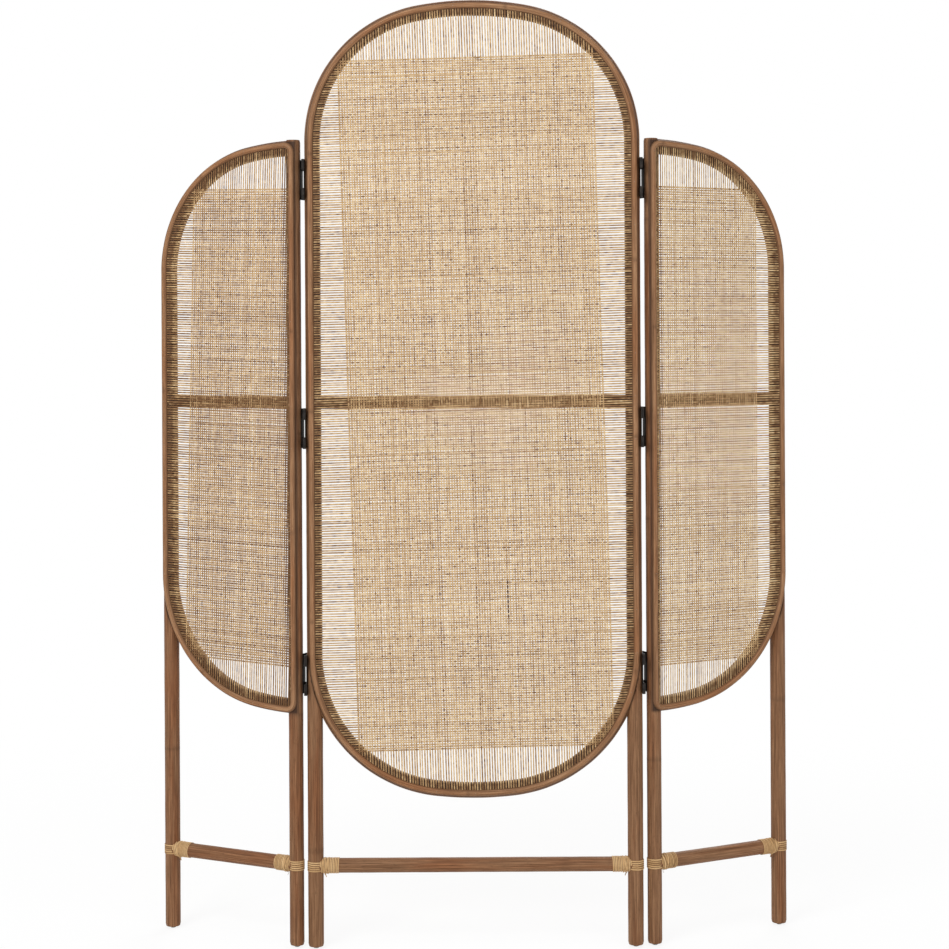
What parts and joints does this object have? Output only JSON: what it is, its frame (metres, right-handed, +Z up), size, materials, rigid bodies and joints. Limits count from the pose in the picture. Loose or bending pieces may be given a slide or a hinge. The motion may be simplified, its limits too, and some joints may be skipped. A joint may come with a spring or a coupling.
{
  "type": "folding room divider",
  "caption": "Folding screen of bent rattan poles with woven cane webbing: an arched centre panel and two lower half-arch side panels on double-acting hinges.",
  "frame": {"origin": "on the floor, under the middle of the standing screen's bounding box", "axes": "+Z up, +X to the right seen from the front, -Y the front of the centre panel"},
  "size_m": [1.2254, 0.176, 1.8],
  "materials": {
    "pole": "stained satin rattan",
    "trim": "satin split rattan",
    "webbing": "natural cane weave",
    "cane": "natural cane strip",
    "hinge": "satin black",
    "glide": "matte"
  },
  "bodies": {
    "centre_panel": {"centre_bent_poles": "pole", "centre_mid_rail": "pole", "centre_stretcher": "pole", "centre_webbing": "webbing", "centre_trim": "trim", "centre_lashings": "cane", "centre_foot_glides": "glide", "left_centre_hinge_leaves": "hinge", "right_centre_hinge_leaves": "hinge"},
    "left_link": {"left_hinge_links": "hinge"},
    "left_panel": {"left_inner_leg": "pole", "left_bent_poles": "pole", "left_mid_rail": "pole", "left_stretcher": "pole", "left_webbing": "webbing", "left_trim": "trim", "left_lashings": "cane", "left_foot_glides": "glide", "left_hinge_leaves": "hinge"},
    "right_link": {"right_hinge_links": "hinge"},
    "right_panel": {"right_inner_leg": "pole", "right_bent_poles": "pole", "right_mid_rail": "pole", "right_stretcher": "pole", "right_webbing": "webbing", "right_trim": "trim", "right_lashings": "cane", "right_foot_glides": "glide", "right_hinge_leaves": "hinge"}
  },
  "joints": [
    {"name": "right_front_hinge", "type": "hinge", "parent": "centre_panel", "child": "right_link", "pos_m": [0.3202, -0.08481, 0], "axis": [0, 0, -1], "range_deg": [0, 180]},
    {"name": "right_rear_hinge", "type": "hinge", "parent": "right_link", "child": "right_panel", "pos_m": [0.3202, -0.05101, 0], "axis": [0, 0, 1], "range_deg": [-27, 153]},
    {"name": "left_front_hinge", "type": "hinge", "parent": "centre_panel", "child": "left_link", "pos_m": [-0.3202, -0.08481, 0], "axis": [0, 0, 1], "range_deg": [0, 180]},
    {"name": "left_rear_hinge", "type": "hinge", "parent": "left_link", "child": "left_panel", "pos_m": [-0.3202, -0.05101, 0], "axis": [0, 0, -1], "range_deg": [-27, 153]}
  ]
}
